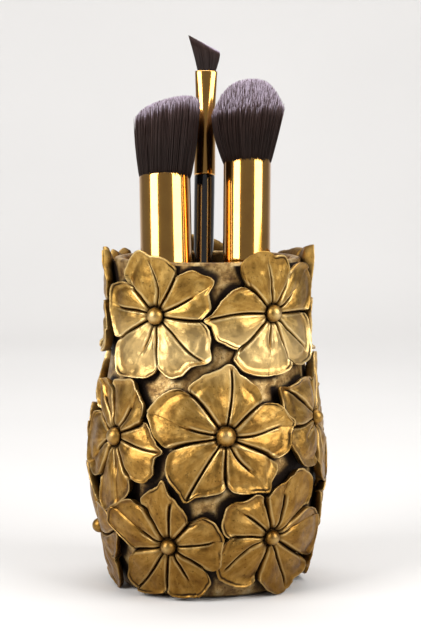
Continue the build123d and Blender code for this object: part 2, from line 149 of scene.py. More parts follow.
# Flower shapes: petals as (vein's angle at the hub, its angle and radius at its end) and the
# outline as (angle, radius) points, all counter-clockwise
SHAPES = {
    "a": {
        "veins": [(22, 28, 15), (76, 97, 18), (164, 169, 17), (258, 247, 12), (323, 321, 23)],
        "notches": [60, 136, 209, 277, 356],
        "outline": [
            (0, 17.2), (10, 20.0), (22, 20.3), (31, 24.0), (41, 21.9), (49, 20.8), (55, 17.5), (60, 14.8),
            (64, 18.0), (80, 19.6), (92, 20.0), (104, 22.4), (119, 20.2), (130, 17.9), (136, 13.8),
            (140, 16.6), (147, 18.9), (159, 21.8), (172, 20.6), (191, 19.6), (204, 19.3), (209, 17.2),
            (214, 20.3), (227, 24.0), (233, 25.2), (249, 22.3), (266, 20.5), (273, 18.9), (277, 16.8),
            (283, 19.2), (292, 22.4), (298, 22.6), (309, 21.8), (324, 24.8), (332, 22.1), (343, 20.2),
            (352, 18.0), (356, 16.2),
        ],
    },
    "b": {
        "veins": [(27, 37, 12), (98, 102, 17), (178, 184, 24), (251, 257, 11), (316, 323, 23)],
        "notches": [64, 140, 219, 292, 358],
        "outline": [
            (5, 20.0), (14, 22.6), (26, 24.6), (38, 23.6), (49, 21.6), (57, 17.6), (64, 14.0),
            (71, 16.6), (82, 19.5), (92, 19.3), (99, 21.0), (111, 22.3), (121, 22.1), (128, 21.3),
            (134, 18.6), (140, 14.0), (146, 16.6), (154, 18.1), (165, 19.9), (179, 22.8), (184, 25.4),
            (190, 23.3), (199, 23.3), (207, 21.5), (214, 19.9), (219, 18.6), (223, 22.1), (235, 23.1),
            (244, 22.6), (256, 21.5), (269, 20.8), (277, 20.4), (287, 19.5), (292, 17.6), (297, 20.3),
            (311, 23.4), (323, 25.4), (336, 24.0), (349, 22.4), (355, 19.8), (358, 17.8),
        ],
    },
    "c": {
        "veins": [(-7, 4, 20), (81, 85, 22), (174, 165, 13), (234, 237, 24.5), (290, 305, 14)],
        "notches": [39, 131, 193, 270, 334],
        "outline": [
            (0, 23.9), (7, 26.0), (13, 23.6), (28, 20.4), (35, 17.6), (39, 15.4), (44, 16.8), (52, 18.0),
            (62, 18.9), (76, 20.6), (86, 23.4), (96, 21.6), (109, 20.9), (123, 20.3), (128, 19.6),
            (131, 18.4), (135, 21.4), (143, 23.8), (155, 25.6), (166, 27.6), (172, 25.8), (183, 23.2),
            (190, 20.6), (193, 18.2), (198, 20.7), (207, 22.7), (216, 24.0), (229, 23.9), (237, 25.2),
            (242, 22.2), (252, 19.6), (265, 17.6), (270, 15.9), (275, 17.4), (285, 18.9), (299, 20.5),
            (308, 22.9), (316, 21.4), (325, 21.4), (331, 20.4), (334, 18.4), (338, 20.0), (348, 23.0),
        ],
    },
    "d": {
        "veins": [(-9, -9, 20.3), (50, 58, 13), (108, 121, 15), (202, 212, 12), (287, 278, 10.5)],
        "notches": [26, 101, 152, 243, 308],
        "outline": [
            (9, 17.6), (20, 16.2), (26, 14.4), (31, 15.8), (40, 17.6), (53, 18.2), (60, 19.2), (67, 20.8),
            (81, 19.4), (95, 18.6), (101, 16.8), (108, 19.2), (120, 20.8), (128, 21.6), (137, 19.8),
            (147, 17.2), (152, 15.4), (160, 17.6), (175, 19.0), (190, 20.2), (204, 20.8), (218, 19.8),
            (234, 17.4), (243, 15.2), (249, 18.2), (254, 23.4), (262, 24.6), (273, 22.3), (286, 21.0),
            (297, 19.8), (304, 18.0), (308, 15.6), (315, 18.9), (321, 20.6), (331, 21.4), (338, 20.4),
            (345, 20.2), (352, 22.2), (357, 19.8),
        ],
    },
    "e": {
        "veins": [(4, 6, 14), (60, 70, 18), (150, 149, 22), (205, 210, 12), (286, 292, 16)],
        "notches": [38, 97, 182, 254, 330],
        "outline": [
            (6, 22.0), (18, 21.0), (30, 18.8), (38, 15.6), (45, 17.8), (57, 20.2), (70, 22.8), (82, 19.8),
            (91, 16.4), (97, 13.0), (104, 14.6), (114, 15.8), (127, 17.8), (138, 19.6), (147, 22.0),
            (151, 25.6), (159, 24.0), (168, 23.0), (177, 20.0), (182, 18.2), (190, 21.3), (196, 22.0),
            (207, 21.6), (220, 21.0), (233, 18.7), (245, 16.4), (254, 14.2), (259, 18.6), (270, 21.0),
            (282, 22.2), (292, 23.0), (304, 21.4), (317, 19.6), (325, 18.0), (330, 15.8), (337, 18.4),
            (350, 20.9),
        ],
    },
    "f": {
        "veins": [(5, 9, 16), (80, 81, 15), (158, 152, 11), (230, 228, 21.5), (300, 299, 12.5)],
        "notches": [47, 124, 190, 263, 330],
        "outline": [
            (4, 18.6), (14, 19.4), (23, 19.1), (31, 18.5), (39, 17.0), (43, 14.2), (47, 11.4), (55, 13.2),
            (65, 14.6), (75, 16.0), (85, 18.4), (91, 22.4), (96, 20.6), (107, 19.2), (117, 18.3),
            (124, 16.2), (130, 20.0), (146, 23.2), (158, 25.4), (165, 25.4), (170, 20.6), (178, 16.4),
            (190, 13.6), (197, 15.8), (208, 18.6), (215, 21.6), (226, 21.4), (242, 18.7), (257, 16.6),
            (263, 15.0), (272, 16.4), (286, 17.2), (305, 18.4), (318, 17.8), (325, 15.8), (330, 12.8),
            (335, 16.4), (343, 18.1), (353, 18.0),
        ],
    },
    "g": {
        "veins": [(9, 12, 9), (61, 74, 15), (138, 142, 14), (193, 213, 19), (292, 299, 21)],
        "notches": [31, 107, 176, 255, 333],
        "outline": [
            (0, 24.4), (8, 24.8), (17, 22.0), (26, 18.9), (31, 17.4), (36, 19.4), (43, 22.4), (50, 24.6),
            (60, 24.5), (68, 24.0), (75, 20.6), (82, 18.3), (98, 16.2), (107, 14.6), (114, 16.6),
            (124, 17.4), (133, 18.6), (140, 20.7), (148, 21.6), (156, 21.1), (166, 19.6), (172, 18.0),
            (176, 16.0), (184, 18.2), (194, 19.7), (203, 20.7), (212, 21.6), (222, 20.6), (235, 19.0),
            (249, 16.6), (255, 14.4), (262, 15.2), (274, 18.0), (288, 20.6), (302, 22.4), (310, 20.6),
            (318, 21.6), (326, 22.8), (331, 20.0), (333, 16.4), (339, 22.4), (349, 24.0),
        ],
    },
    "h": {
        "veins": [(22, 28, 15), (76, 97, 18), (164, 169, 13), (258, 247, 12), (323, 321, 23)],
        "notches": [60, 135, 207, 277, 356],
        "outline": [
            (0, 17.2), (10, 20.0), (22, 20.3), (31, 24.0), (41, 21.9), (49, 20.8), (55, 17.5), (60, 14.8),
            (64, 18.0), (80, 19.6), (92, 20.0), (104, 22.4), (117, 19.6), (128, 16.2), (135, 13.0),
            (139, 14.2), (147, 15.4), (159, 16.8), (172, 16.4), (191, 15.6), (202, 15.0), (207, 14.0),
            (212, 17.6), (227, 24.0), (233, 25.2), (249, 22.3), (266, 20.5), (273, 18.9), (277, 16.8),
            (283, 19.2), (292, 22.4), (298, 22.6), (309, 21.8), (324, 24.8), (332, 22.1), (343, 20.2),
            (352, 18.0), (356, 16.2),
        ],
    },
}

# Where each flower sits: shape, angle round the pot, height, turn about its own stud, scale
FLOWERS = {
    "flower_top_1": ("a", -30.0, 94.4, 0, 1.00),
    "flower_top_2": ("b", 40.0, 95.0, 0, 1.00),
    "flower_top_3": ("a", 112.0, 95.1, 250, 0.98),
    "flower_top_4": ("b", 183.8, 95.5, 203, 0.98),
    "flower_top_5": ("h", 256.6, 94.6, 96, 0.98),
    "flower_middle_1": ("d", -52.5, 53.5, 0, 1.00),
    "flower_middle_2": ("c", 9.3, 55.6, 0, 1.00),
    "flower_middle_3": ("e", 73.7, 58.0, 0, 1.00),
    "flower_middle_4": ("d", 131.0, 56.5, 142, 1.00),
    "flower_middle_5": ("c", 190.9, 54.7, 246, 0.98),
    "flower_middle_6": ("e", 247.3, 55.2, 292, 0.95),
    "flower_bottom_1": ("f", -20.3, 19.2, 0, 1.00),
    "flower_bottom_2": ("g", 35.0, 21.5, 0, 1.00),
    "flower_bottom_3": ("f", 97.2, 20.2, 271, 0.95),
    "flower_bottom_4": ("g", 158.0, 20.4, 150, 0.98),
    "flower_bottom_5": ("f", 217.9, 19.5, 351, 0.98),
    "flower_bottom_6": ("g", 277.3, 20.5, 152, 0.98),
}


# Small numeric helpers

def smooth(low, high, value):
    """Share from 0 at low to 1 at high, with soft ends."""
    share = np.clip((value - low) / (high - low), 0, 1)
    return share * share * (3 - 2 * share)


def peak(value, centre, width):
    """Bell curve with height 1 at its centre."""
    return np.exp(-(((value - centre) / width) ** 2))


def joined(*coordinates):
    """Points, or rows of indices, from one array or number for each coordinate."""
    return np.stack(np.broadcast_arrays(*coordinates), axis=-1)


def hashed(x, y, z, seed):
    """Repeatable values from -1 to 1."""
    value = (x * 374761393 + y * 668265263 + z * 2147483647 + seed * 974634777) & 0xFFFFFFFF
    value = ((value ^ (value >> 13)) * 1274126177) & 0xFFFFFFFF
    return ((value ^ (value >> 16)) & 0xFFFF) / 32767.5 - 1


def noise(x, y, z, seed):
    """Smooth value noise from -1 to 1 on arrays."""
    axes = np.stack(np.broadcast_arrays(x, y, z))
    cell = np.floor(axes).astype(np.int64)
    part = axes - cell
    part = part * part * (3 - 2 * part)
    total = np.zeros(axes.shape[1:])
    for corner in np.ndindex(2, 2, 2):
        weight = np.prod([share if far else 1 - share for share, far in zip(part, corner)], axis=0)
        total += weight * hashed(*(whole + far for whole, far in zip(cell, corner)), seed)
    return total


def fractal(x, y, z, octaves, seed):
    """Noise with finer and weaker noise on top."""
    total = 0
    for octave in range(octaves):
        factor = 2.0**octave
        total = total + noise(x * factor, y * factor, z * factor, seed + octave) / factor
    return total


def wall_radius(height):
    """Radius of the pot's wall at heights above the table."""
    height = np.asarray(height, dtype=float)
    low_share = 1 - height / BELLY_HEIGHT
    low = BELLY_RADIUS - (BELLY_RADIUS - FOOT_RADIUS) * low_share**2
    share = np.clip((height - BELLY_HEIGHT) / (NECK_HEIGHT - BELLY_HEIGHT), 0, 1)
    high = NECK_RADIUS + (BELLY_RADIUS - NECK_RADIUS) * (1 + np.cos(pi * share)) / 2
    return np.where(height < BELLY_HEIGHT, low, high)


def wall_slope(height):
    """Growth of the wall's radius per millimetre of height."""
    return wall_radius(height + 0.5) - wall_radius(height - 0.5)


def on_wall(turn, height, lift):
    """Points at angles (radians) and heights, lifted along the wall's normal."""
    slope = wall_slope(height)
    length = np.sqrt(1 + slope**2)
    radius = wall_radius(height) + lift / length
    return joined(radius * np.sin(turn), -radius * np.cos(turn), height - lift * slope / length)


def outline_radius(outline, angle):
    """Outline's radius at angles in degrees: a smooth curve that never overshoots the given points."""
    angles, radii = np.array(outline, dtype=float).T
    order = np.argsort(angles % 360)
    angles, radii = angles[order] % 360, radii[order]
    angles = np.concatenate([angles[-2:] - 360, angles, angles[:2] + 360])
    radii = np.concatenate([radii[-2:], radii, radii[:2]])
    step = np.diff(angles)
    secant = np.diff(radii) / step
    slope = np.zeros(len(angles))
    inner = secant[:-1] * secant[1:]
    slope[1:-1] = np.where(inner > 0, 2 * inner / (secant[:-1] + secant[1:] + 1e-12), 0)
    place = np.asarray(angle) % 360
    index = np.clip(np.searchsorted(angles, place, side="right") - 1, 0, len(step) - 1)
    share = (place - angles[index]) / step[index]
    return (
        radii[index] * (1 + 2 * share) * (1 - share) ** 2
        + radii[index + 1] * share**2 * (3 - 2 * share)
        + step[index] * (slope[index] * share * (1 - share) ** 2 - slope[index + 1] * share**2 * (1 - share))
    )


# Meshes

def make_mesh(name, points, quads, triangles=(), **values):
    """Smooth mesh object from points in millimetres, with one float attribute per keyword."""
    mesh = bpy.data.meshes.new(name)
    points = np.asarray(points, dtype=np.float32) * MM
    quads = np.asarray(quads, dtype=np.int32).reshape(-1, 4)
    triangles = np.asarray(triangles, dtype=np.int32).reshape(-1, 3)
    corners = np.concatenate([quads.ravel(), triangles.ravel()])
    starts = np.concatenate([np.arange(len(quads)) * 4, quads.size + np.arange(len(triangles)) * 3])
    mesh.vertices.add(len(points))
    mesh.vertices.foreach_set("co", points.ravel())
    mesh.loops.add(len(corners))
    mesh.loops.foreach_set("vertex_index", corners)
    mesh.polygons.add(len(starts))
    mesh.polygons.foreach_set("loop_start", starts.astype(np.int32))
    mesh.polygons.foreach_set("use_smooth", np.ones(len(starts), dtype=bool))
    for key, array in values.items():
        attribute = mesh.attributes.new(key, "FLOAT", "POINT")
        attribute.data.foreach_set("value", np.asarray(array, dtype=np.float32).ravel())
    mesh.update(calc_edges=True)
    mesh.validate()
    return add_object(name, mesh)


def add_object(name, data):
    made = bpy.data.objects.new(name, data)
    bpy.context.collection.objects.link(made)
    return made


def ring_quads(rows, columns, wrapped=False):
    """Quads of a grid whose columns run round a ring, and whose last row may join its first."""
    row, column = np.meshgrid(np.arange(rows if wrapped else rows - 1), np.arange(columns), indexing="ij")
    after = (column + 1) % columns
    start, above = row * columns, (row + 1) % rows * columns
    return joined(start + column, start + after, above + after, above + column).reshape(-1, 4)


def fan(centre, start, columns, backwards=False):
    """Triangles from a ring of points to the point at its centre."""
    ring = start + np.arange(columns)
    after = np.roll(ring, -1)
    return joined(after, ring, centre) if backwards else joined(ring, after, centre)


def frame_matrix(x_axis, y_axis, z_axis, origin):
    """Frame with the given axes and origin."""
    rows = [(x_axis[i], y_axis[i], z_axis[i], origin[i]) for i in range(3)]
    return Matrix(rows + [(0, 0, 0, 1)])


def placed(place, points):
    """Points carried into the shared frame."""
    matrix = np.array(place)
    return points @ matrix[:3, :3].T + matrix[:3, 3]


def revolved(profile, columns):
    """Rings of points about Z from (radius, height) pairs."""
    turns = np.linspace(0, 2 * pi, columns, endpoint=False)
    radius, height = np.array(profile, dtype=float).T[:, :, None]
    return joined(radius * np.cos(turns), radius * np.sin(turns), height).reshape(-1, 3)


def arc(middle, height, radius, first, last, steps):
    """(radius, height) pairs on a circle between two angles."""
    turns = np.linspace(first, last, steps + 1)
    return list(zip(middle + radius * np.cos(turns), height + radius * np.sin(turns)))


def closed(rings, columns, *ends):
    """Points, quads and triangles of a solid from its rings and the two points that close it."""
    count = len(rings)
    triangles = [fan(count, 0, columns, backwards=True), fan(count + 1, count - columns, columns)]
    return np.concatenate([rings, ends]), ring_quads(count // columns, columns), np.concatenate(triangles)


def turned(profile, columns):
    """Closed solid of revolution about Z, from (radius, height) pairs that start and end on it."""
    return closed(revolved(profile[1:-1], columns), columns, (0, 0, profile[0][1]), (0, 0, profile[-1][1]))


def lathe(name, place, profile, columns=96):
    points, quads, triangles = turned(profile, columns)
    return make_mesh(name, placed(place, points), quads, triangles)


# Flowers

def flower_columns(shape, rng):
    """Values of a flower's columns, counter-clockwise; they close up beside its veins and cuts."""
    lines = []
    for vein, notch in zip(shape["veins"], shape["notches"]):
        lines += [vein, (notch, notch, 0)]
    lobes = len(lines)
    lobe_slope = rng.uniform(0.5, 1.5, lobes) * rng.choice((-1, 1), lobes)
    lobe_slope[1::2] = np.where(rng.random(lobes // 2) < 0.6, -lobe_slope[0::2], lobe_slope[1::2])
    petal_tilt = rng.uniform(-0.5, 0.3, lobes // 2)
    line_bend = rng.uniform(-5.0, 5.0, lobes + 1)
    line_bend[-1] = line_bend[0]
    even = np.arange(COLUMNS) / COLUMNS
    share = 0.45 * even + 0.55 * (1 - np.cos(pi * even)) / 2

    # Each lobe runs from one line to the next, and the last one to the first
    lines = np.array(lines, dtype=float)
    after = np.roll(lines, -1, axis=0)
    after[-1, :2] += 360
    hub, end, reach = lines.T[:, :, None]
    next_hub, next_end, next_reach = after.T[:, :, None]
    lobe = np.arange(lobes)
    from_vein = (lobe % 2 == 0)[:, None]
    columns = {
        "near_hub": hub + (next_hub - hub) * share,
        "at_end": end + (next_end - end) * share,
        "vein_side": np.where(from_vein, share, 1 - share),
        "vein_reach": np.where(from_vein, reach, next_reach),
        "span": next_end - end,
        "bend": line_bend[:-1, None] + np.diff(line_bend)[:, None] * share,
        "slope": lobe_slope[:, None],
        "tilt": petal_tilt[(lobe + 1) // 2 % (lobes // 2)][:, None],
    }
    flat = {key: np.broadcast_to(value, (lobes, COLUMNS)).ravel() for key, value in columns.items()}
    return SimpleNamespace(**flat)


def flower_grid(kind, seed):
    """A flower's upper side as a polar grid, with distances from its edge, its veins and its cuts."""
    shape, button = SHAPES[kind], BUTTON_RADII[kind]
    grid = flower_columns(shape, np.random.default_rng(1000 + seed))
    grid.end_turn = np.radians(grid.at_end)

    # The outline is ragged, except where it meets a vein
    ragged = 0.30 * noise(grid.end_turn * 5.2, seed * 7.7, 0.0, 11)
    ragged += 0.20 * noise(grid.end_turn * 12, seed * 3.1, 0.5, 12)
    ragged += 0.12 * noise(grid.end_turn * 27, seed * 2.3, 0.7, 13)
    edge = outline_radius(shape["outline"], grid.at_end) + ragged * smooth(0.02, 0.30, 1 - grid.vein_side)

    # Rows run from the hub to the lip and round it
    main = np.linspace(0.02, 1, MAIN_ROWS) ** 0.9
    rows = [share * (edge - LIP_INSETS[0] - 0.12) for share in main]
    radius = np.array(rows + [edge - inset for inset in LIP_INSETS])
    part = np.clip((radius - button) / (edge - button), 0, 1)
    swing = (grid.at_end - grid.near_hub) * smooth(0.0, 0.85, part)
    grid.degrees = grid.near_hub + swing + grid.bend * np.sin(pi * part)
    grid.edge, grid.radius, grid.inset = edge, radius, edge - radius
    width = radius * np.radians(grid.span)
    grid.to_vein = width * grid.vein_side
    grid.to_cut = width * (1 - grid.vein_side)
    return grid


def flower_lift(grid, button, seed):
    """Height of a flower's upper side above the wall; the grid keeps its grooves."""
    radius, to_vein, to_cut = grid.radius, grid.to_vein, grid.to_cut
    x = radius * np.cos(np.radians(grid.degrees))
    y = radius * np.sin(np.radians(grid.degrees))
    wobble = noise(x * 0.16, y * 0.16, seed * 5.3, 21)
    small = noise(x * 0.55, y * 0.55, seed * 2.9, 22)
    grain = noise(x * 1.7, y * 1.7, seed * 1.3, 23)
    streak = noise(grid.degrees * 0.33, radius * 0.12, seed * 4.1, 24)

    # Broad form: ridges near the hub, a fold along the vein, cupped ends and a turned-up edge
    across = np.sin(pi * grid.vein_side)
    open_vein = 1 - 0.6 * smooth(0.0, 3.0, radius - grid.vein_reach)
    outer = smooth(7, 12, radius)
    lift = np.interp(radius, LIFT_RADII, LIFTS)
    lift += RIDGE_RISE * across**0.8 * smooth(3, 7, radius) * (1 - smooth(9, 17, radius))
    lift -= VEIN_FOLD * np.exp(-to_vein / 2.4) * smooth(4, 9, radius) * open_vein
    lift -= CUT_FOLD * np.exp(-to_cut / 1.9) * smooth(4, 10, radius)
    lift -= PETAL_DIP * across * smooth(11, 18, radius)
    lift += grid.slope * (grid.vein_side - 0.40) * smooth(5, 15, radius)
    lift += grid.tilt * smooth(8, 20, radius)
    curl = smooth(-0.3, 0.5, noise(grid.end_turn * 1.9, seed * 6.1, 2.0, 26))
    lift -= CUP_DEPTH * curl * peak(grid.inset, 2.7, 1.5) * outer
    lift += EDGE_RISE * (1 - smooth(0.4, 1.8, grid.inset)) * outer
    lift += 0.24 * wobble * smooth(5, 14, radius) + 0.10 * small + 0.035 * grain
    lift += 0.05 * streak * smooth(3, 6, radius)
    lip = np.concatenate([np.zeros(MAIN_ROWS), LIP_LIFTS])[:, None]
    lift += lip * (0.7 + 0.9 * noise(grid.end_turn * 2.6, seed * 1.9, 3.0, 25) + 0.4 * curl)

    # Grooves: veins that fade out, cuts that deepen outwards, and the ring round the button
    along_vein = smooth(0.6, -1.6, radius - grid.vein_reach)
    past_button = smooth(button - 0.8, button + 0.6, radius)
    vein_depth = VEIN_DEPTH * along_vein * past_button
    vein = np.clip(1 - to_vein / (0.40 + 0.10 * wobble), 0, 1) ** 0.8
    cut_depth = (CUT_DEPTH + CUT_DEEPENING * smooth(7, 17, radius)) * past_button
    cut = np.clip(1 - to_cut / (0.36 + 0.012 * radius), 0, 1) ** 0.8
    ring = peak(radius - button, 0.3, 0.42)
    lift -= vein_depth * vein + cut_depth * cut
    lift += 0.12 * peak(to_vein, BEAD_INSET, BEAD_WIDTH) * along_vein
    lift += 0.13 * peak(to_cut, 0.90, 0.30)
    spare = (LIFT_CAP - (lift - RING_DEPTH * ring)) / LIFT_CAP_SOFTNESS
    grid.groove = np.maximum(np.clip(vein * vein_depth / VEIN_DEPTH, 0, 1), np.maximum(cut, 0.9 * ring))
    return np.maximum(LIFT_CAP - LIFT_CAP_SOFTNESS * np.log1p(np.exp(spare)), LIFT_LEAST)


def flower_shading(grid, button, seed):
    """How dark each point of a flower's upper side is, with patina in the grooves and darker round the stud,
    and how worn, with painted highlights on the lips and beads; from 0 to 1.
    """
    radius, inset = grid.radius, grid.inset
    on_vein = smooth(0.5, -2, radius - grid.vein_reach)
    beside_cut = 0.45 * (1 - smooth(0.0, 1.7, grid.to_cut)) * smooth(5, 12, radius)
    beside_vein = 0.38 * (1 - smooth(0.0, 1.2, grid.to_vein)) * on_vein
    round_button = 0.42 * smooth(button + 4.5, button + 0.5, radius)
    line_share = smooth(-0.2, 0.6, noise(grid.end_turn * 3.4, seed * 8.1, 1.0, 41)) * smooth(4, 8, radius)
    inside_edge = 0.75 * peak(inset, 1.0, 0.35) * line_share
    darkening = np.maximum.reduce([grid.groove, beside_cut, beside_vein, round_button, inside_edge])
    # Worn and painted with highlights: the lips, and the beads beside the veins and the cuts
    edge_share = smooth(-0.6, 0.4, noise(grid.end_turn * 4.1, seed * 2.7, 5.0, 42))
    on_edge = peak(inset, 0.30, 0.26) * edge_share
    vein_bead = 0.8 * peak(grid.to_vein, BEAD_INSET, BEAD_WIDTH) * on_vein
    cut_bead = 0.8 * peak(grid.to_cut, 0.92, 0.30)
    worn = np.maximum.reduce([on_edge, vein_bead, cut_bead]) * smooth(2, 5, radius)
    return darkening, worn


def build_flower(name, kind, angle, height, turn, scale, seed):
    """One cast flower: a closed sheet whose petals fold along their veins and lift towards their ends."""
    button = BUTTON_RADII[kind]
    grid = flower_grid(kind, seed)
    lift = flower_lift(grid, button, seed)
    darkening, worn = flower_shading(grid, button, seed)
    count = len(grid.at_end)

    # The underside runs back from the edge to the hub
    under_radius = [grid.edge - 0.08, grid.edge - 0.3]
    under_lift = [lift[-1] - 0.45, lift[-1] - 1.0]
    for share in np.linspace(1, 0, UNDER_ROWS + 1):
        under_radius.append((grid.edge - 0.9) * max(share, 0.02))
        under_lift.append(np.minimum(np.interp(share, UNDER_SHARES, UNDER_LIFTS), lift[-1] - EDGE_THICKNESS))
    under_rows = len(under_radius)
    radius = np.concatenate([grid.radius, under_radius])
    lift = np.concatenate([lift, under_lift])
    ray = np.radians(np.concatenate([grid.degrees, np.tile(grid.at_end, (under_rows, 1))]))
    # Painted shade: the underside is darker towards the hub
    darkening = np.concatenate([darkening, np.linspace(0.35, 1.0, under_rows)[:, None] * np.ones(count)])
    worn = np.concatenate([worn, np.zeros((under_rows, count))])

    # The sheet is bent round the wall and closed at the hub, above and below
    bearing = ray + radians(turn)
    heights = height + radius * scale * np.sin(bearing)
    turns = radians(angle) + radius * scale * np.cos(bearing) / (wall_radius(heights) + 3)
    points = on_wall(turns, heights, lift)
    points[..., 2] = np.maximum(points[..., 2], LOWEST)
    hub = on_wall(radians(angle), height, np.array([lift[0].mean(), UNDER_LIFTS[0]]))
    inner = radius.size
    triangles = [fan(inner, 0, count), fan(inner + 1, inner - count, count, backwards=True)]
    return make_mesh(
        name,
        np.concatenate([points.reshape(-1, 3), hub]),
        ring_quads(len(radius), count),
        np.concatenate(triangles),
        cavity=np.append(darkening, [0.6, 1.0]),
        worn=np.append(worn, [0.0, 0.0]),
        ray=np.append(ray, [0.0, 0.0]),
        out=np.append(radius, [0.0, 0.0]),
    )


# The pot's wall and studs

def flower_distance(turns, heights):
    """Distance in millimetres from points of the wall to the nearest petal's outline."""
    nearest = np.full(np.shape(turns), 50.0)
    for kind, angle, height, turn, scale in FLOWERS.values():
        around = (turns - radians(angle) + pi) % (2 * pi) - pi
        right = around * (wall_radius(heights) + 3)
        up = heights - height
        radius = np.hypot(right, up) / scale
        bearing = np.degrees(np.arctan2(up, right)) - turn
        nearest = np.minimum(nearest, (radius - outline_radius(SHAPES[kind]["outline"], bearing)) * scale)
    return nearest


def wall_line(first, last, rows, depth):
    """(radius, height) pairs between two heights, at a depth behind the wall's outside."""
    heights = np.linspace(first, last, rows)
    return list(zip(wall_radius(heights) - depth, heights))


def wall_profile():
    """The shell's (radius, height) pairs, and which of them are on its outer wall and on its rim."""
    edge = float(wall_radius(FOOT_EDGE_HEIGHT))
    shoulder = RIM_HEIGHT - RIM_ROUNDING
    corner = FLOOR_TOP + FLOOR_ROUNDING
    foot = [(AXIS_GAP, FOOT_HEIGHT), (15.0, FOOT_HEIGHT), (25.0, FOOT_HEIGHT)]
    foot += [(edge - 0.75, FOOT_HEIGHT), (edge - 0.25, FOOT_HEIGHT + 0.25)]
    outer = wall_line(FOOT_EDGE_HEIGHT, shoulder, OUTER_ROWS, 0)
    rim = arc(NECK_RADIUS - RIM_ROUNDING, shoulder, RIM_ROUNDING, 0, pi / 2, 8)[1:]
    rim += arc(NECK_RADIUS - WALL_THICKNESS + RIM_ROUNDING, shoulder, RIM_ROUNDING, pi / 2, pi, 8)
    inner = wall_line(shoulder - 0.4, corner, INNER_ROWS, WALL_THICKNESS)
    last = inner[-1][0]
    floor = arc(last - FLOOR_ROUNDING, corner, FLOOR_ROUNDING, 0, -pi / 2, 8)[1:]
    floor += [(last - 9, FLOOR_TOP), (10.0, FLOOR_TOP), (AXIS_GAP, FLOOR_TOP)]
    outside = slice(len(foot), len(foot) + len(outer))
    return foot + outer + rim + inner + floor, outside, slice(outside.stop, outside.stop + len(rim))


def build_wall():
    """Lathed shell, rougher outside, with painted shade from the nearest petal."""
    profile, outside, on_rim = wall_profile()
    turns = np.linspace(0, 2 * pi, WALL_COLUMNS, endpoint=False)
    radii, heights = np.array(profile).T[:, :, None] * np.ones(WALL_COLUMNS)
    angles = np.ones(len(profile))[:, None] * turns
    rise = heights[outside]
    cosine, sine = np.cos(angles[outside]), np.sin(angles[outside])
    relief = 0.14 * fractal(cosine * 9, sine * 9, rise * 0.25, 3, 51)
    radii[outside] += np.minimum(relief * smooth(1.0, 7.0, rise), WALL_RELIEF)

    # The wall has painted shade near the petals, less of it at the open neck, which is painted as lit, and
    # is dark at the foot
    distance = flower_distance(angles[outside], rise) + 0.8 * noise(cosine * 5, sine * 5, rise * 0.14, 61)
    neck = smooth(62, 70, rise) * smooth(88, 80, rise)
    near = np.clip(1.0 - 0.95 * smooth(1.0 - 0.6 * neck, 3.6 - 1.8 * neck, distance), 0.02, 1)
    # Painted shade inside the pot and under its foot, less of it on the rim
    shade = np.full(radii.shape, 0.62)
    shade[:outside.start] = 0.8
    shade[outside] = near * smooth(0.5, 6.0, rise) + 0.35 * smooth(6.0, 1.6, rise)
    shade[on_rim] = 0.25

    points = joined(radii * np.sin(angles), -radii * np.cos(angles), heights).reshape(-1, 3)
    solid = closed(points, WALL_COLUMNS, (0, 0, FOOT_HEIGHT), (0, 0, FLOOR_TOP))
    return make_mesh("pot_shell", *solid, cavity=np.append(shade, [0.8, 0.62]))


def stud_profile(dome_radius):
    """Shank, flared seat and dome, as (radius, height above the wall) pairs."""
    sphere = (dome_radius**2 + BUTTON_RISE**2) / (2 * BUTTON_RISE)
    edge = atan2(sphere - BUTTON_RISE, dome_radius)
    top = BUTTON_SEAT + BUTTON_RISE
    profile = [(0, SHANK_END), (SHANK_RADIUS, SHANK_END), (SHANK_RADIUS, SHANK_TOP)]
    profile += [(dome_radius - 0.3, SHANK_TOP), (dome_radius - 0.08, SHANK_TOP + 0.15)]
    profile += [(dome_radius, SHANK_TOP + 0.5), (dome_radius, BUTTON_SEAT)]
    return profile + arc(0, top - sphere, sphere, edge, pi / 2, 14)[1:-1] + [(0, top)]


def build_buttons():
    """Domed studs, one in each flower, with their shanks into the wall."""
    parts = []
    count = 0
    for kind, angle, height, _turn, _scale in FLOWERS.values():
        points, quads, triangles = turned(stud_profile(BUTTON_RADII[kind]), 48)
        # Darker below the dome: patina and painted shade under its edge
        cavity = np.where(points[:, 2] < 2.2, 0.8, 0.0)
        # Paler at the dome's top: wear and a painted highlight
        middle_share = np.maximum(0, 1 - np.hypot(points[:, 0], points[:, 1]) / 2.0)
        worn = np.where(points[:, 2] > 2.6, middle_share, 0.0)
        way = radians(angle)
        outwards = Vector((sin(way), -cos(way), 0))
        sideways = Vector((cos(way), sin(way), 0))
        normal = (outwards - Vector((0, 0, float(wall_slope(height))))).normalized()
        origin = outwards * float(wall_radius(height)) + Vector((0, 0, height))
        place = frame_matrix(sideways, normal.cross(sideways), normal, origin)
        parts.append((placed(place, points), quads + count, triangles + count, cavity, worn))
        count += len(points)
    points, quads, triangles, cavity, worn = map(np.concatenate, zip(*parts))
    return make_mesh("stud_heads", points, quads, triangles, cavity=cavity, worn=worn)


# Brushes, each in its own frame with Z along it

def brush_frame(foot, rim_x, radius):
    """A brush's frame as it leans on the back of the rim: origin at its lower end, Z along it."""
    reach = NECK_RADIUS - WALL_THICKNESS - radius - BRUSH_GAP
    start = Vector((*foot, FLOOR_TOP + BRUSH_GAP))
    at_rim = Vector((rim_x, sqrt(reach**2 - rim_x**2), RIM_HEIGHT))
    along = (at_rim - start).normalized()
    across = (Vector((1, 0, 0)) - along * along.x).normalized()
    return frame_matrix(across, along.cross(across), along, start)


